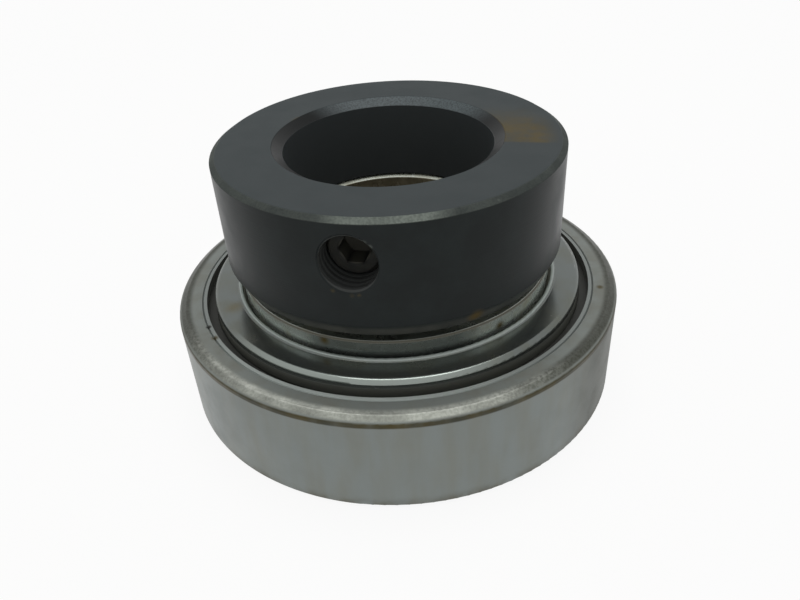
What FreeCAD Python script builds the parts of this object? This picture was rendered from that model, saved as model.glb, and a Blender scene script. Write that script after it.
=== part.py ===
# Sealed insert ball bearing with an eccentric locking collar, in millimetres.
# The shaft axis is +Z. The outer ring stands on its back face at z = 0, with the
# collar on top, and the set screw in the collar points to -Y.
import FreeCAD, Part
import math
import os

os.makedirs("parts", exist_ok=True)

Vector = FreeCAD.Vector

# From the shaft outwards: inner ring, balls and outer ring, which comes out 72 mm across
shaft_diameter = 31.75
inner_race_wall = 5.269        # under the raceway
ball_diameter = 11.112
race_clearance = 0.05
outer_race_wall = 3.644        # over the raceway
race_conformity = 0.52         # raceway radius over ball diameter
race_shoulder_share = 0.198    # shoulder height over ball diameter
ball_count = 9

# Outer ring, which comes out 17 mm wide round its balls, cage and rear seal
ring_corner_inset = 1.2        # worn corners: how far in they reach on the faces
ring_corner_height = 0.7
ring_corner_rounding = 0.4
rim_step = 1.394               # from the raceway's shoulder out to the rim round the seal
seal_groove_depth = 0.5        # how far the seal groove is cut behind the rim
stake_mark_offset = 0.5        # rolled-in edge: from the rim to its fine groove
stake_mark_width = 0.3
stake_mark_depth = 0.25

# Inner ring
inner_ring_width = 27.6
bore_chamfer = 0.8
seal_land_step = 1.606         # from the raceway's shoulder out to the land
seal_land_reach = 4.3          # from the outer ring's front face to the land's end
land_edge_chamfer = 0.3
land_start_gap = 0.05          # the land starts this far inside the seals
cam_wall = 3.425               # at its thinnest
cam_offset = 1.0               # eccentricity, towards +Y
cam_chamfer = 0.5

# Ribbon cage, two pressed halves riveted together between the balls
cage_sheet = 0.6
cage_width = 3.7
cage_side_gap = 0.4            # to the wall of the front seal's cap
cage_end_gap = 0.174           # to the rear seal's cap
cage_pocket_clearance = 0.12
rivet_shank_diameter = 1.8
rivet_head_diameter = 3.2
rivet_head_height = 0.7
rivet_head_rounding = 0.6
rivet_clearance = 0.02

# Seals: a steel shroud outside, a rubber washer, and a steel cap inside
seal_lip_gap = 0.05            # washer to seal land
washer_bevel_share = 0.3       # of its thickness, on each side of the wiping edge
washer_wipe_share = 0.7        # of the gap between steel and lip that the bevel takes
seal_seat_clearance = 0.05
steel_to_land_gap = 0.45
nesting_gap = 0.1              # between the walls of the front shroud and its cap
washer_nesting_gap = 0.1

front_seat_depth = 2.8         # from the front face to the floor of the seal groove
front_shroud_sheet = 0.6
front_cap_sheet = 0.5
front_washer_thickness = 1.0
shroud_groove_width = 1.5      # open groove between the rim and the shroud
shroud_shoulder_radius = 0.75
shroud_inner_bend_radius = 0.2
shroud_rise = 1.55             # flat of the shroud above the front face
shroud_lip_height = 0.45       # turned-up lip above that flat
lip_rounding_share = 0.45      # of the sheet, on both edges of the lip

rear_rim_thickness = 0.5
rear_shroud_sheet = 0.5
rear_cap_sheet = 0.45
rear_washer_thickness = 0.6
rear_cap_setback = 1.55        # from the rim's radius in to the cap's step

# Locking collar
collar_wall = 4.95             # round its counterbore, at its thinnest
collar_screw_land = 13.4       # its length above the counterbore
collar_screw_share = 0.511     # how far up that length the set screw is
collar_gap = 1.65              # open gap between the seal land's end and the collar
collar_bore_clearance = 0.075
collar_seat_gap = 0.1          # counterbore floor to the inner ring's end
lock_clearance = 0.35          # counterbore to cam, taken up as the collar turns
collar_top_chamfer_inset = 0.9
collar_top_chamfer_height = 0.6
collar_bore_chamfer_inset = 1.6
collar_bore_chamfer_height = 1.1
collar_bevel_height = 2.1
collar_bevel_inset = 1.05

# Set screw, 5/16-24 with a hex socket and a cup point
screw_diameter = 7.938
screw_length = 6.4
screw_thread_clearance = 0.05
screw_mouth_chamfer = 0.5
screw_tip_setback = 0.35       # point of the screw behind the collar's bore
screw_point_taper = 1.4
screw_cup_diameter = 3.6
screw_cup_depth = 0.7
screw_head_chamfer = 0.5
socket_across_flats = 3.969
socket_depth = 3.2

# Blind hole in the collar's side, where a drift is set to turn it tight
drift_hole_diameter = 6.4
drift_hole_depth = 4.5
drift_hole_point_angle = 118
drift_hole_angle = 180         # round the collar from the set screw

# Sizes that follow from the ones above
bore_radius = shaft_diameter / 2
ball_radius = ball_diameter / 2
pitch_radius = bore_radius + inner_race_wall + race_clearance + ball_radius
outer_radius = pitch_radius + ball_radius + race_clearance + outer_race_wall
race_radius = race_conformity * ball_diameter
shoulder_height = race_shoulder_share * ball_diameter
outer_shoulder_radius = pitch_radius + ball_radius - shoulder_height
inner_shoulder_radius = pitch_radius - ball_radius + shoulder_height
rim_radius = outer_shoulder_radius + rim_step
seal_groove_radius = rim_radius + seal_groove_depth
land_radius = inner_shoulder_radius + seal_land_step
cam_radius = bore_radius + cam_wall + cam_offset

rear_shroud_top_z = rear_rim_thickness + rear_shroud_sheet
rear_seat_z = rear_shroud_top_z + rear_cap_sheet
rear_washer_top_z = rear_shroud_top_z + rear_washer_thickness
rear_cap_top_z = rear_washer_top_z + rear_cap_sheet
rear_cap_shoulder_radius = rim_radius - rear_cap_setback

pocket_radius = ball_radius + cage_pocket_clearance
dome_radius = pocket_radius + cage_sheet
middle_z = rear_cap_top_z + cage_end_gap + dome_radius
ring_width = 2 * middle_z
land_end_z = ring_width + seal_land_reach

shroud_shoulder = rim_radius - shroud_groove_width
cap_wall_radius = shroud_shoulder - front_shroud_sheet - nesting_gap
cap_inside_radius = cap_wall_radius - front_cap_sheet
cage_outer_radius = cap_inside_radius - cage_side_gap
cage_inner_radius = cage_outer_radius - cage_width
rivet_circle_radius = (cage_outer_radius + cage_inner_radius) / 2

front_seat_z = ring_width - front_seat_depth
front_flange_z = front_seat_z + front_cap_sheet
front_rim_z = front_flange_z + front_shroud_sheet
shroud_top_z = ring_width + shroud_rise
shroud_under_z = shroud_top_z - front_shroud_sheet
front_washer_z = shroud_under_z - front_washer_thickness
front_cap_under_z = front_washer_z - front_cap_sheet

steel_inner_radius = land_radius + steel_to_land_gap
flange_radius = seal_groove_radius - seal_seat_clearance
lip_radius = land_radius + seal_lip_gap

collar_bottom_z = land_end_z + collar_gap
counterbore_top_z = inner_ring_width + collar_seat_gap
collar_top_z = counterbore_top_z + collar_screw_land
counterbore_radius = cam_radius + lock_clearance
collar_radius = counterbore_radius + cam_offset + collar_wall
collar_bore_radius = bore_radius + collar_bore_clearance
screw_z = counterbore_top_z + collar_screw_share * collar_screw_land
screw_radius = screw_diameter / 2
screw_tip_y = -(collar_bore_radius + screw_tip_setback)


def flat_outline(corners):
    """Closed face in the XZ plane from (r, z) or, where it is rounded, (r, z, radius)."""
    points = [Vector(corner[0], 0, corner[1]) for corner in corners]
    starts, ends, arcs = [], [], []
    for i, corner in enumerate(corners):
        here = points[i]
        start = end = here
        arc = None
        if len(corner) == 3:
            radius = corner[2]
            back = (points[i - 1] - here).normalize()
            ahead = (points[(i + 1) % len(points)] - here).normalize()
            half_angle = back.getAngle(ahead) / 2
            reach = radius / math.tan(half_angle)
            centre = here + (back + ahead).normalize() * (radius / math.sin(half_angle))
            start = here + back * reach
            end = here + ahead * reach
            through = centre + (here - centre).normalize() * radius
            arc = Part.Arc(start, through, end).toShape()
        starts.append(start)
        ends.append(end)
        arcs.append(arc)
    edges = []
    for i in range(len(corners)):
        if arcs[i]:
            edges.append(arcs[i])
        following = starts[(i + 1) % len(corners)]
        if ends[i].distanceToPoint(following) > 1e-6:
            edges.append(Part.LineSegment(ends[i], following).toShape())
    return Part.Face(Part.Wire(edges))


def turned(corners):
    """Ring or shaft turned from an outline about the bearing's axis."""
    return flat_outline(corners).revolve(Vector(0, 0, 0), Vector(0, 0, 1), 360)


def upright(radius, low, high, x=0, y=0):
    return Part.makeCylinder(radius, high - low, Vector(x, y, low))


def raceway(centre_radius):
    return Part.makeTorus(centre_radius, race_radius, Vector(0, 0, middle_z))


def ball_angle(number):
    return math.radians(90 + 360 * number / ball_count)


def around(angle, radius=pitch_radius, z=middle_z):
    return Vector(radius * math.cos(angle), radius * math.sin(angle), z)


def outer_ring():
    mark_inside = rim_radius + stake_mark_offset
    mark_middle = mark_inside + stake_mark_width / 2
    ring = turned([
        (rim_radius, 0),
        (outer_radius - ring_corner_inset, 0, ring_corner_rounding),
        (outer_radius, ring_corner_height, ring_corner_rounding),
        (outer_radius, ring_width - ring_corner_height, ring_corner_rounding),
        (outer_radius - ring_corner_inset, ring_width, ring_corner_rounding),
        (mark_inside + stake_mark_width, ring_width),
        (mark_middle, ring_width - stake_mark_depth),
        (mark_inside, ring_width),
        (rim_radius, ring_width),
        (rim_radius, front_rim_z),
        (seal_groove_radius, front_rim_z),
        (seal_groove_radius, front_seat_z),
        (outer_shoulder_radius, front_seat_z),
        (outer_shoulder_radius, rear_seat_z),
        (seal_groove_radius, rear_seat_z),
        (seal_groove_radius, rear_rim_thickness),
        (rim_radius, rear_rim_thickness),
    ])
    return ring.cut(raceway(pitch_radius + ball_radius + race_clearance - race_radius))


def inner_ring():
    front_land_z = front_cap_under_z - land_start_gap
    rear_land_z = rear_cap_top_z + land_start_gap
    body = turned([
        (bore_radius + bore_chamfer, 0),
        (land_radius - land_edge_chamfer, 0),
        (land_radius, land_edge_chamfer),
        (land_radius, rear_land_z),
        (inner_shoulder_radius, rear_land_z),
        (inner_shoulder_radius, front_land_z),
        (land_radius, front_land_z),
        (land_radius, land_end_z - land_edge_chamfer),
        (land_radius - land_edge_chamfer, land_end_z),
        (bore_radius, land_end_z),
        (bore_radius, bore_chamfer),
    ])
    cam_straight_z = inner_ring_width - cam_chamfer
    cam = upright(cam_radius, land_end_z, cam_straight_z, y=cam_offset)
    cam_edge = Part.makeCone(cam_radius, cam_radius - cam_chamfer, cam_chamfer,
                             Vector(0, cam_offset, cam_straight_z))
    ring = body.cut(raceway(pitch_radius - ball_radius - race_clearance + race_radius))
    ring = ring.fuse([cam, cam_edge])
    ring = ring.cut(upright(bore_radius, 0, inner_ring_width))
    mouth = Part.makeCone(bore_radius, bore_radius + bore_chamfer, bore_chamfer,
                          Vector(0, 0, inner_ring_width - bore_chamfer))
    return ring.cut(mouth).removeSplitter()


def ball(number):
    return Part.makeSphere(ball_radius, around(ball_angle(number)))


def cage_half():
    """Front half: a flat ribbon with a domed pocket over each ball."""
    dome_height = middle_z + dome_radius
    column = upright(cage_outer_radius, middle_z, dome_height)
    column = column.cut(upright(cage_inner_radius, middle_z, dome_height))
    ribbon = upright(cage_outer_radius, middle_z, middle_z + cage_sheet)
    ribbon = ribbon.cut(upright(cage_inner_radius, middle_z, middle_z + cage_sheet))
    centres = [around(ball_angle(number)) for number in range(ball_count)]
    domes = [Part.makeSphere(dome_radius, centre).common(column) for centre in centres]
    pockets = [Part.makeSphere(pocket_radius, centre) for centre in centres]
    holes = [rivet_hole(number) for number in range(ball_count)]
    return ribbon.fuse(domes).cut(pockets + holes).removeSplitter()


def rivet_place(number):
    return around(ball_angle(number + 0.5), rivet_circle_radius)


def rivet_hole(number):
    place = rivet_place(number)
    hole_radius = rivet_shank_diameter / 2 + rivet_clearance
    return upright(hole_radius, middle_z, middle_z + cage_sheet, place.x, place.y)


def rivet(number):
    shank_radius = rivet_shank_diameter / 2
    head_radius = rivet_head_diameter / 2
    face = middle_z + cage_sheet
    foot = middle_z - cage_sheet
    shape = turned([
        (0, foot - rivet_head_height),
        (head_radius, foot - rivet_head_height, rivet_head_rounding),
        (head_radius, foot),
        (shank_radius, foot),
        (shank_radius, face),
        (head_radius, face),
        (head_radius, face + rivet_head_height, rivet_head_rounding),
        (0, face + rivet_head_height),
    ])
    place = rivet_place(number)
    shape.translate(Vector(place.x, place.y, 0))
    return shape


def front_shroud():
    """Dished cap: flange in the groove, rounded shoulder, flat and turned-up lip."""
    lip_outside = steel_inner_radius + front_shroud_sheet
    lip_top_z = shroud_top_z + shroud_lip_height
    lip_round = front_shroud_sheet * lip_rounding_share
    return turned([
        (flange_radius, front_flange_z),
        (flange_radius, front_rim_z),
        (shroud_shoulder, front_rim_z, shroud_inner_bend_radius),
        (shroud_shoulder, shroud_top_z, shroud_shoulder_radius),
        (lip_outside, shroud_top_z, shroud_inner_bend_radius),
        (lip_outside, lip_top_z, lip_round),
        (steel_inner_radius, lip_top_z, lip_round),
        (steel_inner_radius, shroud_under_z, shroud_inner_bend_radius),
        (shroud_shoulder - front_shroud_sheet, shroud_under_z, shroud_inner_bend_radius),
        (shroud_shoulder - front_shroud_sheet, front_flange_z),
    ])


def front_cap():
    return turned([
        (flange_radius, front_seat_z),
        (flange_radius, front_flange_z),
        (cap_wall_radius, front_flange_z),
        (cap_wall_radius, front_washer_z, shroud_inner_bend_radius),
        (steel_inner_radius, front_washer_z),
        (steel_inner_radius, front_cap_under_z),
        (cap_inside_radius, front_cap_under_z, shroud_inner_bend_radius),
        (cap_inside_radius, front_seat_z),
    ])


def washer(outside, low, high):
    """Rubber washer with a wiping edge that runs along the seal land."""
    edge = (high - low) * washer_bevel_share
    wiping_radius = lip_radius + (steel_inner_radius - lip_radius) * washer_wipe_share
    return turned([
        (outside, low),
        (outside, high),
        (wiping_radius, high),
        (lip_radius, high - edge),
        (lip_radius, low + edge),
        (wiping_radius, low),
    ])


def front_washer():
    return washer(cap_wall_radius - washer_nesting_gap, front_washer_z, shroud_under_z)


def rear_shroud():
    return turned([
        (steel_inner_radius, rear_rim_thickness),
        (flange_radius, rear_rim_thickness),
        (flange_radius, rear_shroud_top_z),
        (steel_inner_radius, rear_shroud_top_z),
    ])


def rear_cap():
    """Cap with a stepped rim, so that the washer has room between it and the shroud."""
    inside = rear_cap_shoulder_radius - rear_cap_sheet
    return turned([
        (steel_inner_radius, rear_washer_top_z),
        (inside, rear_washer_top_z),
        (inside, rear_shroud_top_z),
        (flange_radius, rear_shroud_top_z),
        (flange_radius, rear_seat_z),
        (rear_cap_shoulder_radius, rear_seat_z),
        (rear_cap_shoulder_radius, rear_cap_top_z),
        (steel_inner_radius, rear_cap_top_z),
    ])


def rear_washer():
    outside = rear_cap_shoulder_radius - rear_cap_sheet - washer_nesting_gap
    return washer(outside, rear_shroud_top_z, rear_washer_top_z)


def along_screw(shape):
    """Turn a shape made up the Z axis so that it lies along the set screw, tip at the bore."""
    shape.rotate(Vector(0, 0, 0), Vector(1, 0, 0), 90)
    shape.translate(Vector(0, screw_tip_y, screw_z))
    return shape


def locking_collar():
    collar = turned([
        (collar_bore_radius, collar_bottom_z),
        (collar_radius - collar_bevel_inset, collar_bottom_z),
        (collar_radius, collar_bottom_z + collar_bevel_height),
        (collar_radius, collar_top_z - collar_top_chamfer_height),
        (collar_radius - collar_top_chamfer_inset, collar_top_z),
        (collar_bore_radius + collar_bore_chamfer_inset, collar_top_z),
        (collar_bore_radius, collar_top_z - collar_bore_chamfer_height),
    ])
    counterbore = upright(counterbore_radius, collar_bottom_z, counterbore_top_z, y=cam_offset)
    return collar.cut([counterbore, screw_hole(), drift_hole()])


def screw_hole():
    """Hole from the shaft's axis out through the collar's side, with a chamfered mouth."""
    radius = screw_radius + screw_thread_clearance
    hole = Part.makeCylinder(radius, collar_radius + screw_mouth_chamfer, Vector(0, 0, screw_tip_y))
    mouth_start = collar_radius + screw_tip_y - screw_mouth_chamfer
    mouth_height = 2 * screw_mouth_chamfer
    mouth = Part.makeCone(radius, radius + mouth_height, mouth_height, Vector(0, 0, mouth_start))
    return along_screw(hole.fuse(mouth))


def drift_hole():
    radius = drift_hole_diameter / 2
    bottom_radius = collar_radius - drift_hole_depth
    point_height = radius / math.tan(math.radians(drift_hole_point_angle / 2))
    hole = Part.makeCylinder(radius, 2 * drift_hole_depth, Vector(0, 0, bottom_radius))
    point = Part.makeCone(0, radius, point_height, Vector(0, 0, bottom_radius - point_height))
    hole = hole.fuse(point)
    hole.rotate(Vector(0, 0, 0), Vector(1, 0, 0), 90)
    hole.rotate(Vector(0, 0, 0), Vector(0, 0, 1), drift_hole_angle)
    hole.translate(Vector(0, 0, screw_z))
    return hole


def set_screw():
    point_radius = screw_radius - screw_point_taper
    body = turned([
        (0, screw_cup_depth),
        (screw_cup_diameter / 2, 0),
        (point_radius, 0),
        (screw_radius, screw_point_taper),
        (screw_radius, screw_length - screw_head_chamfer),
        (screw_radius - screw_head_chamfer, screw_length),
        (0, screw_length),
    ])
    corner_radius = socket_across_flats / 2 / math.cos(math.radians(30))
    corners = [around(math.radians(60 * i), corner_radius, screw_length) for i in range(7)]
    socket = Part.Face(Part.makePolygon(corners)).extrude(Vector(0, 0, -socket_depth))
    return along_screw(body.cut(socket))


front_half = cage_half()
rear_half = front_half.mirror(Vector(0, 0, middle_z), Vector(0, 0, 1))
cage_rivets = Part.makeCompound([rivet(number) for number in range(ball_count)])

nodes = {
    "outer_ring": outer_ring(),
    "inner_ring": inner_ring(),
    "cage_front_half": front_half,
    "cage_rear_half": rear_half,
    "cage_rivets": cage_rivets,
    "front_seal_shroud": front_shroud(),
    "front_seal_washer": front_washer(),
    "front_seal_cap": front_cap(),
    "rear_seal_shroud": rear_shroud(),
    "rear_seal_washer": rear_washer(),
    "rear_seal_cap": rear_cap(),
    "locking_collar": locking_collar(),
    "set_screw": set_screw(),
}
for number in range(ball_count):
    nodes["ball_%d" % (number + 1)] = ball(number)

print("outer diameter", round(2 * outer_radius, 3), "ring width", round(ring_width, 3))
for name, shape in nodes.items():
    shape.exportStep("parts/%s.step" % name)
    print(name, "solids", len(shape.Solids), "valid", shape.isValid(), "volume", round(shape.Volume, 1))
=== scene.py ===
import math

import bmesh
import bpy
from mathutils import Matrix, Vector


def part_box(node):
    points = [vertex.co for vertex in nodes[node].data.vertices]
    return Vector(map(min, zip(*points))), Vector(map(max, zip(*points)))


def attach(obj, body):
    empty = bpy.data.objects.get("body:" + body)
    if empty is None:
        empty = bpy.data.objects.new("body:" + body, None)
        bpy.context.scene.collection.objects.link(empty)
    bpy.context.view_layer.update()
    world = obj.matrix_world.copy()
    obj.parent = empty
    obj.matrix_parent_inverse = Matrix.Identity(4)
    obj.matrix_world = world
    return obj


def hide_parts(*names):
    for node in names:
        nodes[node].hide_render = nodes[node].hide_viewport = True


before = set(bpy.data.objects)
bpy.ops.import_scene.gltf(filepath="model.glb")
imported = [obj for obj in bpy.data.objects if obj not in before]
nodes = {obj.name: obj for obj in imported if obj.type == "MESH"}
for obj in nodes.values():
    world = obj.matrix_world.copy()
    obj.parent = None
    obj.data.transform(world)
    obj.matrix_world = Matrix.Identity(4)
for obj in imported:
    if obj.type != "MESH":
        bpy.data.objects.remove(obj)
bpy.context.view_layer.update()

mm = 0.001

# The shaft axis is +Z, the bearing stands on z = 0 and its set screw points to -Y.
# Sizes are in millimetres where their name doesn't say degrees, and colours are sRGB hex codes.


def hexColour(code):
    linear = []
    for start in (0, 2, 4):
        value = int(code[start:start + 2], 16) / 255
        linear.append(value / 12.92 if value <= 0.04045 else ((value + 0.055) / 1.055) ** 2.4)
    return (*linear, 1.0)


def addNode(tree, kind, inputs, output=0, **settings):
    # a socket among the inputs is linked, and a string is a hex code
    node = tree.nodes.new("ShaderNode" + kind)
    for name, setting in settings.items():
        setattr(node, name, setting)
    for key, value in inputs.items():
        if isinstance(value, bpy.types.NodeSocket):
            tree.links.new(value, node.inputs[key])
        else:
            node.inputs[key].default_value = hexColour(value) if isinstance(value, str) else value
    return node.outputs[output]


def reachOf(name):
    # how far a CAD node reaches, in millimetres
    low, high = [[value / mm for value in corner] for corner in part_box(name)]
    return {"right": high[0], "front": low[1], "back": high[1], "bottom": low[2], "top": high[2]}


# Patterns that several finishes share

def newFinish(name, shader):
    # a material with one Principled shader, whose constant values are set on its own sockets
    material = bpy.data.materials.new(name)
    material.use_nodes = True
    tree = material.node_tree
    principled = tree.nodes["Principled BSDF"]
    for key, value in shader.items():
        principled.inputs[key].default_value = value
    return material, tree, principled


def placeInMm(tree):
    place = addNode(tree, "TexCoord", {}, output="Object")
    return addNode(tree, "VectorMath", {0: place, "Scale": 1 / mm}, operation="SCALE")


def ringPlace(tree):
    # place on a ring about the shaft axis; turned grows whichever way the tool moved, out or along
    place = placeInMm(tree)
    axes = addNode(tree, "SeparateXYZ", {0: place}).node.outputs
    flat = addNode(tree, "CombineXYZ", {"X": axes["X"], "Y": axes["Y"]})
    radius = addNode(tree, "VectorMath", {0: flat}, output="Value", operation="LENGTH")
    turned = addNode(tree, "Math", {0: radius, 1: axes["Z"]}, operation="ADD")
    return {"place": place, "x": axes["X"], "y": axes["Y"], "height": axes["Z"], "radius": radius,
            "turned": turned}


def mask(tree, *parts):
    # 1 where every part holds: a part is another mask, or a measure with the values at which
    # it starts to hold and fully holds, which are as far apart as that edge is soft
    whole = None
    for part in parts:
        if isinstance(part, tuple):
            measure, start, end = part
            part = addNode(tree, "MapRange", {"Value": measure, "From Min": start, "From Max": end},
                           interpolation_type="SMOOTHSTEP")
        if whole is not None:
            part = addNode(tree, "Math", {0: whole, 1: part}, operation="MULTIPLY")
        whole = part
    return whole


def band(tree, value, low, high, soft):
    return mask(tree, (value, low - soft, low + soft), (value, high + soft, high - soft))


def spot(tree, at, centre, radius, soft):
    # a round mark of that radius about a point
    offset = addNode(tree, "VectorMath", {0: at["place"], 1: centre}, output="Value", operation="DISTANCE")
    return mask(tree, (offset, radius + soft, radius - soft))


def patches(tree, place, size, share, soft, detail=3.0):
    # cloudy patches of about that size, covering about that share of the surface;
    # most of the noise lies within 0.45 / 2 of its middle, 0.5
    noise = addNode(tree, "TexNoise", {"Vector": place, "Scale": 1 / size, "Detail": detail,
                                       "Roughness": 0.55})
    middle = 0.5 + (0.5 - share) * 0.45
    return mask(tree, (noise, middle - soft, middle + soft))


def layered(tree, colour, *coats):
    # coats are laid over the colour in turn, each with the mask of where it shows;
    # a Mix node's inputs 6 and 7 and output 2 are its colours
    for amount, coat in coats:
        colour = addNode(tree, "Mix", {0: amount, 6: colour, 7: coat}, output=2, data_type="RGBA")
    return colour


def toolMarks(tree, turned, spacing, depth, under=None):
    # rings left by the lathe or the grinding wheel
    marks = addNode(tree, "TexNoise", {"W": turned, "Scale": 1 / spacing, "Detail": 2.0},
                    noise_dimensions="1D")
    inputs = {"Height": marks, "Distance": depth * mm}
    if under is not None:
        inputs["Normal"] = under
    return addNode(tree, "Bump", inputs)


def dress(names, material):
    for name in names:
        slots = nodes[name].data.materials
        slots.clear()
        slots.append(material)


# Outer ring: hardened bearing steel, ground on its outside and faced on its ends

reach = reachOf("outer_ring")
outerRing = {
    "radius": reach["right"], "width": reach["top"], "rim": 31.5, "rimEnd": 32.25, "cornerStart": 34.4,
    "cornerDrop": 0.5,
    # painted front highlight, painted shade towards +X, and rust at the foot, each from where it starts to
    # where it is full
    "frontHighlightY": (-18.0, -33.0), "rightShadeX": (28.0, 34.0), "footHeight": (2.6, 0.2),
    # foot and top of the dirty line under the front corner
    "lineHeight": (reach["top"] - 1.4, reach["top"] - 0.55),
    # marks on the front face
    "pit": (-25.7, -19.2), "rustSpots": [(-23.6, -21.7), (33.3, -0.9)],
    # film: painted shade on the outside towards +X
    "ground": "7e8482", "stained": "7b7e78", "film": "5c5f59", "faced": "787d79", "faceStain": "71736c",
    # rim and corner colours: painted highlights towards the front, painted shade on the corner's sides
    "rimHighlightColour": "a8afab", "rimDull": "7d827f", "cornerSideShade": "4d4f49", "cornerRoundHighlight": "999c94",
    "cornerFlatHighlight": "c8cbc2", "cornerDirt": "3b3c35", "rust": "4a432c", "lineDirt": "41423a",
    # the recess colour is painted light in the groove round the seal
    "paintedGrooveLighting": "6a6c66", "pitDirt": "23231d"}


def cornerWearAndHighlight(tree, at, handled, stretches):
    # corners rubbed bare, with dirt left in 0.4 mm pits, fewer at the front; a painted highlight on their
    # front, lighter still on the flat part, and painted shade on their sides
    ring = outerRing
    start, foot = ring["cornerStart"], ring["width"] - ring["cornerDrop"]
    corner = mask(tree, (at["radius"], start - 0.8, start + 0.1), (at["height"], foot - 0.1, foot + 0.1))
    shine = mask(tree, handled, addNode(tree, "MapRange", {"Value": stretches, "To Min": 0.5}))
    pits = mask(tree, patches(tree, at["place"], size=0.4, share=0.45, soft=0.15, detail=2.0),
                addNode(tree, "MapRange", {"Value": handled, "To Min": 0.7, "To Max": 0.25}))
    rounded = mask(tree, (at["radius"], start + 0.1, start + 0.7))
    bright = layered(tree, ring["cornerFlatHighlight"], (rounded, ring["cornerRoundHighlight"]))
    wornAndLitCorner = layered(tree, ring["cornerSideShade"], (shine, bright), (pits, ring["cornerDirt"]))
    return corner, rounded, wornAndLitCorner


def groundRingSteel():
    # satin all round from the grinding wheel, with painted shade on one side, towards +X, and dirt along
    # its edge
    ring = outerRing
    material, tree, shader = newFinish("groundRingSteel", {"Specular IOR Level": 0.2})
    at = ringPlace(tree)
    side = mask(tree, (at["radius"], ring["radius"] - 0.25, ring["radius"] - 0.05))
    # upright stains, 3 mm wide, from oil that ran down, and painted shade towards +X
    runs = addNode(tree, "VectorMath", {0: at["place"], 1: (1.0, 1.0, 0.2)}, operation="MULTIPLY")
    stains = patches(tree, runs, size=3.0, share=0.45, soft=0.25)
    film = mask(tree, side, (at["x"], *ring["rightShadeX"]))
    ground = layered(tree, ring["ground"], (stains, ring["stained"]), (film, ring["film"]))
    # the rim band is a painted highlight, strongest towards the front, -Y, and the corner gets a painted
    # highlight there too
    clouds = patches(tree, at["place"], size=4.0, share=0.4, soft=0.2)
    handled = mask(tree, (at["y"], *ring["frontHighlightY"]))
    rim = band(tree, at["radius"], ring["rim"], ring["rimEnd"], soft=0.08)
    rimPaintedHighlight = layered(tree, ring["rimDull"], (handled, ring["rimHighlightColour"]))
    faced = layered(tree, ring["faced"], (clouds, ring["faceStain"]), (rim, rimPaintedHighlight))
    stretches = patches(tree, at["place"], size=4.0, share=0.5, soft=0.25)
    corner, rounded, wornAndLitCorner = cornerWearAndHighlight(tree, at, handled, stretches)
    # rust and dirt in a line under the front corner, broken into 3 mm stretches, and rust at the foot
    broken = patches(tree, at["place"], size=3.0, share=0.75, soft=0.22)
    line = mask(tree, side, band(tree, at["height"], *ring["lineHeight"], soft=0.15),
                addNode(tree, "MapRange", {"Value": broken, "To Min": 0.75}))
    dirt = layered(tree, ring["rust"], (stretches, ring["lineDirt"]))
    foot = mask(tree, side, (at["height"], *ring["footHeight"]),
                patches(tree, at["place"], size=3.0, share=0.7, soft=0.25),
                addNode(tree, "MapRange", {"Value": broken, "To Min": 0.3, "To Max": 0.7}))
    marks = [(spot(tree, at, (*place, ring["width"]), radius=0.45, soft=0.35), ring["rust"])
             for place in ring["rustSpots"]]
    marks.append((spot(tree, at, (*ring["pit"], ring["width"]), radius=0.4, soft=0.2), ring["pitDirt"]))
    # the recess round the seal is painted paler and matt, as painted light in its deep shade
    inside = mask(tree, (at["radius"], ring["rim"] + 0.06, ring["rim"] - 0.02),
                  (at["height"], ring["width"] - 0.02, ring["width"] - 0.3))
    colour = layered(tree, faced, (side, ground), (corner, wornAndLitCorner), (line, dirt), (foot, ring["rust"]),
                     *marks, (inside, ring["paintedGrooveLighting"]))
    tree.links.new(colour, shader.inputs["Base Color"])
    # the faces are dull with old oil, the ground outside and the rubbed corners are clean metal
    cleanSide = mask(tree, side, addNode(tree, "MapRange", {"Value": film, "To Min": 1.0, "To Max": 0.3}))
    clean = addNode(tree, "Math", {0: cleanSide, 1: mask(tree, corner, rounded)}, operation="MAXIMUM")
    metal = mask(tree, addNode(tree, "MapRange", {"Value": clean, "To Min": 0.4, "To Max": 0.85}),
                 addNode(tree, "MapRange", {"Value": inside, "To Min": 1.0, "To Max": 0.3}))
    tree.links.new(metal, shader.inputs["Metallic"])
    rubbed = addNode(tree, "MapRange", {"Value": clean, "To Min": 0.5, "To Max": 0.4})
    cloudy = addNode(tree, "MapRange", {"Value": clouds, "To Min": -0.03, "To Max": 0.05})
    rough = addNode(tree, "Math", {0: rubbed, 1: cloudy}, operation="ADD")
    tree.links.new(rough, shader.inputs["Roughness"])
    # grinding marks are 0.02 mm apart, drawn at 0.2 mm so that they show
    tree.links.new(toolMarks(tree, at["turned"], spacing=0.2, depth=0.004), shader.inputs["Normal"])
    return material


dress(["outer_ring"], groundRingSteel())
print("outer ring dressed")

# Inner ring: ground seal land, oily brown bore painted paler, and a front end with a painted highlight

innerRing = {
    "bore": 15.875, "width": reachOf("inner_ring")["top"], "landEnd": outerRing["width"] + 4.3,
    "landShadowWidth": 0.33, "litEndDepth": 0.85,
    # painted shade on the land towards the set screw: that direction, and where it starts and is full
    "shadedWay": (0.174, -0.985, 0.0), "shadedFrom": (21.0, 23.3),
    "rustSpots": [(15.8, -20.2, 21.2), (18.7, -16.6, 19.6), (-5.2, -24.5, 20.6)],
    "land": "cdd4ce", "landStain": "b3b29f", "landPaintedShade": "828884", "landShadowBand": "4b4a42",
    "endHighlight": "999b8e", "boreOilPaintedLight": "827c68", "boreDark": "696352", "rust": "6a5b34"}


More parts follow.
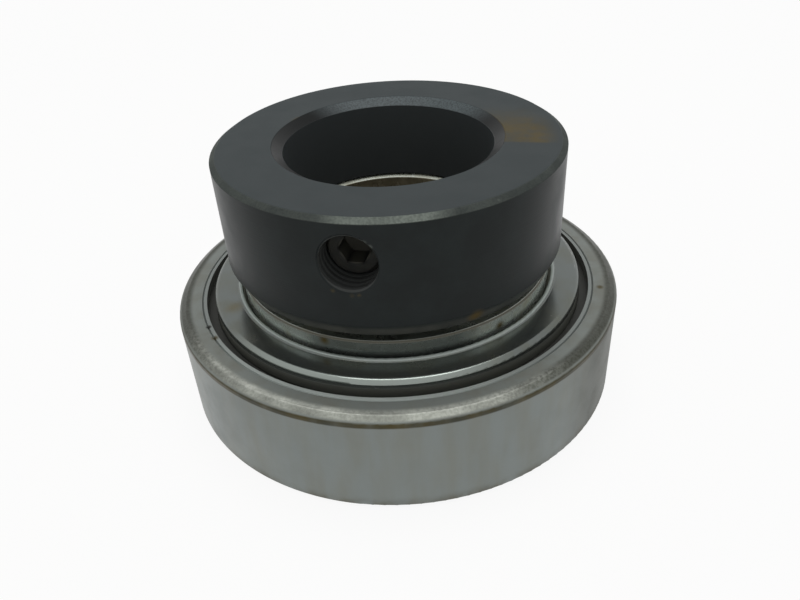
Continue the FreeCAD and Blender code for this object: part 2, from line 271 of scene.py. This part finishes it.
def innerRingSteel():
    # the land mirrors what stands round it and has painted shade towards the set screw, the bore is dulled
    # by dried oil and painted paler as painted light
    ring = innerRing
    material, tree, shader = newFinish("innerRingSteel", {"Specular IOR Level": 0.25})
    at = ringPlace(tree)
    stains = patches(tree, at["place"], size=3.5, share=0.3, soft=0.15)
    # the land is painted darker towards the set screw, -Y, as painted shade
    forward = addNode(tree, "VectorMath", {0: at["place"], 1: ring["shadedWay"]}, output="Value",
                      operation="DOT_PRODUCT")
    greasy = mask(tree, (forward, *ring["shadedFrom"]))
    rusted = [(spot(tree, at, centre, radius=0.6, soft=0.6), ring["rust"]) for centre in ring["rustSpots"]]
    # a painted shadow in a band along the land's top end, under the collar
    landShadowBand = band(tree, at["height"], ring["landEnd"] - ring["landShadowWidth"], ring["landEnd"], soft=0.12)
    land = layered(tree, ring["land"], (stains, ring["landStain"]), (greasy, ring["landPaintedShade"]), *rusted,
                   (landShadowBand, ring["landShadowBand"]))
    # the bore's oily brown is painted paler, as painted light in its deep shade
    oil = patches(tree, at["place"], size=2.5, share=0.5, soft=0.2)
    bore = layered(tree, ring["boreOilPaintedLight"], (oil, ring["boreDark"]))
    inBore = mask(tree, (at["radius"], ring["bore"] + 0.12, ring["bore"] + 0.02))
    # the front end gets a painted highlight in 0.35 mm grains
    grains = patches(tree, at["place"], size=0.35, share=0.7, soft=0.25, detail=2.0)
    endStart = ring["width"] - ring["litEndDepth"]
    end = mask(tree, (at["height"], endStart, endStart + 0.15),
               (at["radius"], ring["bore"] + 0.05, ring["bore"] + 0.2),
               addNode(tree, "MapRange", {"Value": grains, "To Min": 0.5}))
    colour = layered(tree, land, (inBore, bore), (end, ring["endHighlight"]))
    tree.links.new(colour, shader.inputs["Base Color"])
    metal = addNode(tree, "MapRange", {"Value": inBore, "To Min": 0.85, "To Max": 0.4})
    tree.links.new(metal, shader.inputs["Metallic"])
    rough = addNode(tree, "MapRange", {"Value": stains, "To Min": 0.25, "To Max": 0.4})
    tree.links.new(rough, shader.inputs["Roughness"])
    # grinding marks are 0.02 mm apart, drawn at 0.2 mm so that they show
    tree.links.new(toolMarks(tree, at["turned"], spacing=0.2, depth=0.004), shader.inputs["Normal"])
    return material


dress(["inner_ring"], innerRingSteel())
print("inner ring dressed")

# Set screw: short, with a cup point and a hexagon socket

reach = reachOf("set_screw")
screw = {
    "height": (reach["bottom"] + reach["top"]) / 2, "tip": -reach["back"], "radius": reach["right"],
    "length": reach["back"] - reach["front"], "pitch": 1.058, "threadDepth": 0.62, "threadFlat": 0.15,
    "pointRadius": 2.569, "pointTaper": 1.4, "cupRadius": 1.8, "cupDepth": 0.7, "headChamfer": 0.5,
    "acrossFlats": 3.969, "mouthRadius": 2.36, "mouthDepth": 0.25, "socketDepth": 3.2, "drillDepth": 3.9,
    # how finely the mesh is cut, and what counts as one point or one radius in it
    "ringsPerTurn": 12, "stepsRound": 72, "sharpDegrees": 25, "samePoint": 0.001, "sameRadius": 0.01,
    "oxide": "2f302f", "oil": "383834", "dirt": "4b4a43"}


def screwAxis(tree, at):
    # height over the screw's axis, and distance from it
    rise = addNode(tree, "Math", {0: at["height"], 1: screw["height"]}, operation="SUBTRACT")
    across = addNode(tree, "CombineXYZ", {"X": at["x"], "Y": rise})
    return rise, addNode(tree, "VectorMath", {0: across}, output="Value", operation="LENGTH")


def screwSteel():
    # cheap black oxide over a rolled thread, matt with oil and dust down in its hole
    material, tree, shader = newFinish("screwSteel", {"IOR": 1.2, "Roughness": 0.6})
    at = ringPlace(tree)
    oily = patches(tree, at["place"], size=1.5, share=0.5, soft=0.2)
    # the socket is packed with dry dirt
    rise, distance = screwAxis(tree, at)
    packed = mask(tree, (distance, screw["acrossFlats"] / 2 + 0.3, screw["acrossFlats"] / 2))
    colour = layered(tree, screw["oxide"], (oily, screw["oil"]), (packed, screw["dirt"]))
    tree.links.new(colour, shader.inputs["Base Color"])
    return material


def screwOutline():
    # half outline, as distance from the tip and radius: cup, point, thread, head and socket
    part = screw
    outline = [(part["cupDepth"], 0.0), (0.0, part["cupRadius"])]
    rings = math.ceil(part["length"] / part["pitch"] * part["ringsPerTurn"])
    for ring in range(rings + 1):
        along = part["length"] * ring / rings
        point = part["pointRadius"] + (part["radius"] - part["pointRadius"]) * along / part["pointTaper"]
        head = part["radius"] - part["headChamfer"] + part["length"] - along
        outline.append((along, min(point, part["radius"], head)))
    outline.append((part["length"], part["mouthRadius"]))
    outline.append((part["length"] - part["mouthDepth"], part["acrossFlats"] / 2))
    outline.append((part["length"] - part["socketDepth"], part["acrossFlats"] / 2))
    outline.append((part["length"] - part["drillDepth"], 0.0))
    return outline


def threadedRadius(radius, along, angle):
    # the radius of a point of the spun outline, once its thread and its socket are cut
    part = screw
    flat = part["acrossFlats"] / 2
    if abs(radius - flat) < part["sameRadius"]:
        # the round socket becomes a hexagon with a corner towards +X
        return flat / math.cos(angle % (math.pi / 3) - math.pi / 6)
    if radius > part["mouthRadius"] + part["sameRadius"]:
        # one turn of thread a pitch, with flats on its crests and roots
        turn = (along / part["pitch"] + angle / 2 / math.pi) % 1
        height = abs(2 * turn - 1) * (1 + 2 * part["threadFlat"]) - part["threadFlat"]
        return min(radius, part["radius"] - part["threadDepth"] * (1 - min(max(height, 0), 1)))
    return radius


def makeScrew():
    part = screw
    made = bmesh.new()
    points = [made.verts.new((radius * mm, -(part["tip"] + along) * mm, part["height"] * mm))
              for along, radius in screwOutline()]
    edges = [made.edges.new(pair) for pair in zip(points, points[1:])]
    bmesh.ops.spin(made, geom=points + edges, cent=(0, 0, part["height"] * mm), axis=(0, -1, 0),
                   dvec=(0, 0, 0), angle=2 * math.pi, steps=part["stepsRound"], use_merge=True,
                   use_duplicate=False)
    bmesh.ops.remove_doubles(made, verts=made.verts, dist=part["samePoint"] * mm)
    for vert in made.verts:
        rise = vert.co.z / mm - part["height"]
        radius = math.hypot(vert.co.x / mm, rise)
        if radius:
            stretch = threadedRadius(radius, vert.co.y / mm, math.atan2(rise, vert.co.x / mm)) / radius
            vert.co.x *= stretch
            vert.co.z = (part["height"] + rise * stretch) * mm
    bmesh.ops.recalc_face_normals(made, faces=made.faces)
    for face in made.faces:
        face.smooth = True
    mesh = bpy.data.meshes.new("threadedSetScrew")
    made.to_mesh(mesh)
    made.free()
    mesh.set_sharp_from_angle(angle=math.radians(part["sharpDegrees"]))
    mesh.materials.append(screwSteel())
    piece = bpy.data.objects.new("threadedSetScrew", mesh)
    bpy.context.scene.collection.objects.link(piece)
    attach(piece, "screw")
    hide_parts("set_screw")


makeScrew()
print("set screw made")

# Locking collar: turned steel with a black oxide coat, rubbed through along its edges, with painted light
# on its top face, bevel and chamfers

reach = reachOf("locking_collar")
collar = {
    "radius": reach["right"], "top": reach["top"], "bottom": reach["bottom"], "bore": 15.95,
    "chamferInset": 0.9, "chamferHeight": 0.6, "boreChamferInset": 1.6, "boreChamferHeight": 1.1,
    "bevelHeight": 2.1, "bevelInset": 0.9, "slidingInset": 1.6, "holeRadius": 4.2, "threadBump": 0.14,
    # where the top chamfer is rubbed bare most, which is also a painted highlight, and where the bore's
    # chamfer has its painted highlight
    "rubbedLitX": (-3.0, 12.5), "rubbedLitY": (0.0, -10.0), "boreHighlightY": (8.0, 14.5),
    # the rust on the top face: its straight edge, and where it fades out
    "rustLine": -1.1, "rustY": (15.0, 2.0), "rustX": (11.0, 16.0), "rustRadius": (26.0, 22.0),
    "streak": (-15.5, 5.5, 41.1), "bevelRustCentre": (15.7, -20.9, 24.1),
    "chipsAndGlints": [(3.1, -26.42, 37.3), (2.4, -26.49, 37.9), (18.3, -19.0, 40.9)],
    "flecks": [(-2.3, -26.5, 30.5), (0.25, -26.6, 29.95), (1.2, -26.55, 30.1)],
    "oxide": "232727", "oxideWorn": "282d2d", "topFaceLit": "3e4344", "inBore": "3f4344",
    "inHole": "484a49", "bare": "6c726c", "boreChamferHighlight": "565e60", "boreDull": "141616",
    "bevelHighlight": "4a4b47", "backBare": "b5b7b2", "rust": "564b2f", "bevelRust": "5c4c28"}


def threadTurns(tree, at, rise):
    # turns round the screw's axis plus turns along it
    angle = addNode(tree, "Math", {0: rise, 1: at["x"]}, operation="ARCTAN2")
    along = addNode(tree, "Math", {0: at["y"], 1: 1 / screw["pitch"]}, operation="MULTIPLY")
    return addNode(tree, "Math", {0: angle, 1: 0.5 / math.pi, 2: along}, operation="MULTIPLY_ADD")


def rubbedEdges(tree, at, chamfer, most, grains, stretches):
    # the coat is rubbed through along the top chamfer in 0.3 mm grains, most at the front as a painted
    # highlight, and in a few chipped spots, two of which, on the hole's mouth, are painted highlights
    anywhere = addNode(tree, "MapRange", {"Value": stretches, "To Min": 0.15, "To Max": 0.35})
    rubbed = mask(tree, chamfer, addNode(tree, "MapRange", {"Value": grains, "To Min": 0.7}),
                  addNode(tree, "Math", {0: most, 1: anywhere}, operation="MAXIMUM"))
    for centre in collar["chipsAndGlints"]:
        chip = mask(tree, spot(tree, at, centre, radius=0.3, soft=0.25), 0.6)
        rubbed = addNode(tree, "Math", {0: rubbed, 1: chip}, operation="MAXIMUM")
    return rubbed


def collarRust(tree, at, onTop, grains):
    # thin rust on the top face, which stops at a straight line, and a few flecks below the screw
    part = collar
    area = mask(tree, (at["y"], part["rustLine"] - 0.3, part["rustLine"] + 0.3), (at["y"], *part["rustY"]),
                (at["x"], *part["rustX"]), (at["radius"], *part["rustRadius"]))
    streak = spot(tree, at, part["streak"], radius=1.0, soft=0.9)
    area = addNode(tree, "Math", {0: area, 1: streak}, operation="MAXIMUM")
    thin = patches(tree, at["place"], size=2.5, share=0.6, soft=0.2)
    rust = mask(tree, area, onTop,
                addNode(tree, "MapRange", {"Value": thin, "To Min": 0.25, "To Max": 0.8}))
    for centre in part["flecks"]:
        fleck = mask(tree, spot(tree, at, centre, radius=0.2, soft=0.3),
                     addNode(tree, "MapRange", {"Value": grains, "To Min": 0.2, "To Max": 0.6}))
        rust = addNode(tree, "Math", {0: rust, 1: fleck}, operation="MAXIMUM")
    return rust


def blackOxideSteel():
    # a thin dark layer of magnetite with oil in it: it shines weakly, as a dielectric does
    part = collar
    material, tree, shader = newFinish("blackOxideSteel", {"IOR": 1.2})
    at = ringPlace(tree)
    handled = patches(tree, at["place"], size=5.0, share=0.4, soft=0.2)
    stretches = patches(tree, at["place"], size=6.0, share=0.6, soft=0.2)
    grains = patches(tree, at["place"], size=0.3, share=0.55, soft=0.16, detail=2.0)
    onTop = mask(tree, (at["height"], part["top"] - 0.1, part["top"] - 0.03))
    inBore = mask(tree, (at["radius"], part["bore"] + 0.1, part["bore"] + 0.02))
    rise, distance = screwAxis(tree, at)
    inHole = mask(tree, (distance, part["holeRadius"] + 0.1, part["holeRadius"]),
                  (at["radius"], part["radius"] - 0.15, part["radius"] - 0.3), (at["y"], 0.0, -5.0))
    # the bevel over the seal is painted lighter in stretches, as a painted highlight, with one spot of rust
    bevelStart = part["radius"] - part["bevelInset"]
    bevel = mask(tree, (at["height"], part["bottom"] + part["bevelHeight"], part["bottom"] + 1.0),
                 (at["radius"], bevelStart - 0.5, bevelStart),
                 addNode(tree, "MapRange", {"Value": stretches, "To Min": 0.3}))
    bevelRust = spot(tree, at, part["bevelRustCentre"], radius=0.9, soft=0.8)
    # its back slides on the inner ring and is rubbed bare
    sliding = part["radius"] - part["slidingInset"]
    back = mask(tree, (at["height"], part["bottom"] + 0.05, part["bottom"] + 0.02),
                (at["radius"], sliding + 0.05, sliding - 0.05))
    chamferStart, chamferFoot = part["radius"] - part["chamferInset"], part["top"] - part["chamferHeight"]
    chamfer = mask(tree, (at["radius"], chamferStart, chamferStart + 0.1),
                   (at["height"], chamferFoot - 0.15, chamferFoot))
    # the chamfer's front, where the rubbed grains are also a painted highlight
    most = mask(tree, band(tree, at["x"], *part["rubbedLitX"], soft=3.0), (at["y"], *part["rubbedLitY"]))
    rubbed = rubbedEdges(tree, at, chamfer, most, grains, stretches)
    # the bore's chamfer is dark, with a painted highlight in grains at the back, +Y
    boreStart, boreFoot = part["bore"] + part["boreChamferInset"], part["top"] - part["boreChamferHeight"]
    boreChamfer = mask(tree, (at["radius"], boreStart, boreStart - 0.1),
                       (at["height"], boreFoot - 0.1, boreFoot + 0.1))
    atBack = mask(tree, (at["y"], *part["boreHighlightY"]),
                  addNode(tree, "MapRange", {"Value": grains, "To Min": 0.6}))
    boreColour = layered(tree, part["boreDull"], (atBack, part["boreChamferHighlight"]))
    # the top face is painted lighter than the side, as painted light from above
    colour = layered(tree, part["oxide"], (handled, part["oxideWorn"]), (onTop, part["topFaceLit"]),
                     (inBore, part["inBore"]), (inHole, part["inHole"]), (bevel, part["bevelHighlight"]),
                     (bevelRust, part["bevelRust"]), (back, part["backBare"]), (rubbed, part["bare"]),
                     (boreChamfer, boreColour), (collarRust(tree, at, onTop, grains), part["rust"]))
    tree.links.new(colour, shader.inputs["Base Color"])
    tree.links.new(mask(tree, rubbed, most), shader.inputs["Metallic"])
    # the top face and its chamfer are matt, the turned side is smoother
    matt = addNode(tree, "Math", {0: onTop, 1: chamfer}, operation="MAXIMUM")
    smooth = addNode(tree, "MapRange", {"Value": handled, "To Min": 0.32, "To Max": 0.4})
    rough = addNode(tree, "Math", {0: matt, 1: 0.38, 2: smooth}, operation="MULTIPLY_ADD")
    tree.links.new(rough, shader.inputs["Roughness"])
    # the screw's thread is bump inside its hole, because cut ridges would touch the screw as it slides
    ridges = addNode(tree, "Math", {0: threadTurns(tree, at, rise), 1: 0.5}, operation="PINGPONG")
    thread = addNode(tree, "Bump", {"Height": mask(tree, ridges, inHole),
                                    "Distance": part["threadBump"] * mm})
    # the lathe's feed of 0.15 mm, drawn at 0.3 mm so that it shows
    bump = toolMarks(tree, at["turned"], spacing=0.3, depth=0.01, under=thread)
    tree.links.new(bump, shader.inputs["Normal"])
    return material


dress(["locking_collar"], blackOxideSteel())
print("locking collar dressed")

# Seals: pressed sheet-steel shrouds and caps round a moulded rubber washer

shroud = {
    "flat": reachOf("front_seal_shroud")["top"] - 0.45, "lip": 26.1, "shoulder": 29.2, "floor": 15.4,
    # painted shoulder highlight and painted groove lighting, each from where it starts to where it is full;
    # only the front seal's groove is painted
    "shoulderLitY": (-20.0, -29.0), "paintedGrooveHeight": (17.65, 16.95), "frontHeight": (8.0, 9.0),
    "stain": (-22.3, -15.8, 18.55),
    # the lip and shoulder colours are painted highlights, the groove colour painted light, its floor
    # painted shade
    "shine": "676c6a", "haze": "63665f", "lipHighlight": "989f9b", "shoulderHighlight": "8d948f", "paintedGrooveLighting": "666861",
    "floorPaintedShade": "2f302c", "stainBrown": "5f5a45"}


def shroudSteel():
    # smooth pressed sheet: it mirrors the collar, hazy with old oil, and its lip is rubbed dull and painted
    # lighter as a highlight
    material, tree, shader = newFinish("shroudSteel", {"Specular IOR Level": 0.25})
    at = ringPlace(tree)
    haze = patches(tree, at["place"], size=4.0, share=0.4, soft=0.2)
    stain = mask(tree, spot(tree, at, shroud["stain"], radius=1.2, soft=1.1),
                 addNode(tree, "MapRange", {"Value": haze, "To Min": 0.5}))
    lip = mask(tree, (at["height"], shroud["flat"] + 0.05, shroud["flat"] + 0.2),
               (at["radius"], shroud["lip"] + 0.1, shroud["lip"]))
    # its shoulder gets a painted highlight where it faces the set screw
    shoulder = mask(tree, (at["radius"], shroud["shoulder"], shroud["shoulder"] + 0.2),
                    (at["y"], *shroud["shoulderLitY"]))
    # the front groove is painted paler and matt, as painted light in its shade, with painted shade on its
    # floor
    groove = mask(tree, (at["height"], *shroud["paintedGrooveHeight"]), (at["height"], *shroud["frontHeight"]))
    onFloor = mask(tree, (at["height"], shroud["floor"] + 0.3, shroud["floor"]))
    paintedGrooveLighting = layered(tree, shroud["paintedGrooveLighting"], (onFloor, shroud["floorPaintedShade"]))
    colour = layered(tree, shroud["shine"], (haze, shroud["haze"]), (stain, shroud["stainBrown"]),
                     (lip, shroud["lipHighlight"]), (shoulder, shroud["shoulderHighlight"]), (groove, paintedGrooveLighting))
    tree.links.new(colour, shader.inputs["Base Color"])
    metal = addNode(tree, "MapRange", {"Value": groove, "To Min": 0.8, "To Max": 0.2})
    tree.links.new(metal, shader.inputs["Metallic"])
    dull = addNode(tree, "Math", {0: lip, 1: groove}, operation="MAXIMUM")
    hazy = addNode(tree, "MapRange", {"Value": haze, "To Min": 0.18, "To Max": 0.28})
    rough = addNode(tree, "Math", {0: hazy, 1: mask(tree, dull, 0.5)}, operation="MAXIMUM")
    tree.links.new(rough, shader.inputs["Roughness"])
    return material


dress(["front_seal_shroud", "rear_seal_shroud"], shroudSteel())

pressed = {"bright": "b0b0ab", "greasy": "8f8f86"}


def pressedSteel():
    # bright strip as it left the press, filmed with grease
    material, tree, shader = newFinish("pressedSteel", {"Metallic": 1.0})
    haze = patches(tree, placeInMm(tree), size=3.0, share=0.4, soft=0.2)
    tree.links.new(layered(tree, pressed["bright"], (haze, pressed["greasy"])), shader.inputs["Base Color"])
    rough = addNode(tree, "MapRange", {"Value": haze, "To Min": 0.28, "To Max": 0.4})
    tree.links.new(rough, shader.inputs["Roughness"])
    return material


dress(["front_seal_cap", "rear_seal_cap", "cage_front_half", "cage_rear_half", "cage_rivets"],
      pressedSteel())

washer = {"rubber": "1b1b1b", "dust": "85847b", "dustyRadius": (25.9, 25.5)}


def sealRubber():
    # moulded nitrile, black and matt, grey with dust that stuck to the grease along its edge
    material, tree, shader = newFinish("sealRubber", {"Roughness": 0.6, "IOR": 1.5})
    at = ringPlace(tree)
    patchy = patches(tree, at["place"], size=1.5, share=0.3, soft=0.2)
    edge = mask(tree, (at["radius"], *washer["dustyRadius"]))
    dust = addNode(tree, "Math", {0: patchy, 1: edge}, operation="MAXIMUM")
    tree.links.new(layered(tree, washer["rubber"], (dust, washer["dust"])), shader.inputs["Base Color"])
    return material


dress(["front_seal_washer", "rear_seal_washer"], sealRubber())

ball = {"lapped": "d2d2cf", "greasy": "c1c0b6"}


def ballSteel():
    # lapped chrome steel, almost a mirror under its grease
    material, tree, shader = newFinish("ballSteel", {"Metallic": 1.0})
    film = patches(tree, placeInMm(tree), size=3.0, share=0.4, soft=0.25)
    tree.links.new(layered(tree, ball["lapped"], (film, ball["greasy"])), shader.inputs["Base Color"])
    rough = addNode(tree, "MapRange", {"Value": film, "To Min": 0.06, "To Max": 0.12})
    tree.links.new(rough, shader.inputs["Roughness"])
    return material


dress([name for name in nodes if name.startswith("ball_")], ballSteel())
print("seals, cage and balls dressed")

# Floor, background, lamp and camera

white = (1.0, 1.0, 1.0, 1.0)
studio = {"floorHalf": 2000.0, "floor": "e4e4e1", "seenWhite": 0.92, "fade": (150.0, 900.0), "ambient": 0.5}


def seenRays(tree):
    # rays that see the white background: the camera's, and those mirrored or passed through
    path = addNode(tree, "LightPath", {}).node.outputs
    seen = addNode(tree, "Math", {0: path["Is Camera Ray"], 1: path["Is Glossy Ray"]}, operation="MAXIMUM")
    return addNode(tree, "Math", {0: seen, 1: path["Is Transmission Ray"]}, operation="MAXIMUM")


def paleFloor():
    # a white floor that still keeps the bearing's shadow, and fades into the background
    material = bpy.data.materials.new("paleFloor")
    material.use_nodes = True
    tree = material.node_tree
    tree.nodes.remove(tree.nodes["Principled BSDF"])
    far = mask(tree, (ringPlace(tree)["radius"], *studio["fade"]))
    amount = mask(tree, seenRays(tree),
                  addNode(tree, "MapRange", {"Value": far, "To Min": studio["seenWhite"]}))
    pale = addNode(tree, "BsdfDiffuse", {"Color": studio["floor"]})
    glow = addNode(tree, "Emission", {"Color": white, "Strength": 1.0})
    surface = addNode(tree, "MixShader", {0: amount, 1: pale, 2: glow})
    tree.links.new(surface, tree.nodes["Material Output"].inputs["Surface"])
    return material


def makeFloor():
    mesh = bpy.data.meshes.new("floor")
    made = bmesh.new()
    bmesh.ops.create_grid(made, x_segments=1, y_segments=1, size=studio["floorHalf"] * mm)
    made.to_mesh(mesh)
    made.free()
    mesh.materials.append(paleFloor())
    floor = bpy.data.objects.new("floor", mesh)
    bpy.context.scene.collection.objects.link(floor)


def makeWorld():
    world = bpy.data.worlds.new("studio")
    world.use_nodes = True
    tree = world.node_tree
    soft = tree.nodes["Background"]
    soft.inputs["Color"].default_value = white
    soft.inputs["Strength"].default_value = studio["ambient"]
    bright = addNode(tree, "Background", {"Color": white, "Strength": 1.0})
    surface = addNode(tree, "MixShader", {0: seenRays(tree), 1: soft.outputs[0], 2: bright})
    tree.links.new(surface, tree.nodes["World Output"].inputs["Surface"])
    bpy.context.scene.world = world


# its radiance is against the white of the background
lamp = {"place": (0.0, 60.0, 520.0), "aim": (0.0, 0.0, 20.0), "size": 310.0, "radiance": 4.0}


def makeLamp():
    size = lamp["size"] * mm
    light = bpy.data.lights.new("overhead", "AREA")
    light.shape = "SQUARE"
    light.size = size
    light.energy = lamp["radiance"] * math.pi * size * size
    made = bpy.data.objects.new("overhead", light)
    place = Vector(lamp["place"]) * mm
    toBearing = Vector(lamp["aim"]) * mm - place
    made.matrix_world = Matrix.Translation(place) @ toBearing.to_track_quat("-Z", "Y").to_matrix().to_4x4()
    bpy.context.scene.collection.objects.link(made)


# fitted to the circles in the photograph, at 800 by 600
view = {"place": (24.176, -101.291, 82.496), "headingDegrees": 13.25, "tiltDegrees": 34.452,
        "rollDegrees": 3.561, "lens": 32.761, "sensor": 36.0, "clipStart": 1.0}


def makeCamera():
    camera = bpy.data.cameras.new("camera")
    camera.lens = view["lens"]
    camera.sensor_width = view["sensor"]
    camera.clip_start = view["clipStart"] * mm
    made = bpy.data.objects.new("camera", camera)
    heading = Matrix.Rotation(math.radians(view["headingDegrees"]), 4, "Z")
    tilt = Matrix.Rotation(math.radians(90 - view["tiltDegrees"]), 4, "X")
    roll = Matrix.Rotation(math.radians(-view["rollDegrees"]), 4, "Z")
    made.matrix_world = Matrix.Translation(Vector(view["place"]) * mm) @ heading @ tilt @ roll
    bpy.context.scene.collection.objects.link(made)
    bpy.context.scene.camera = made


makeFloor()
makeWorld()
makeLamp()
makeCamera()
bpy.context.scene.view_settings.view_transform = "Standard"
print("studio ready")
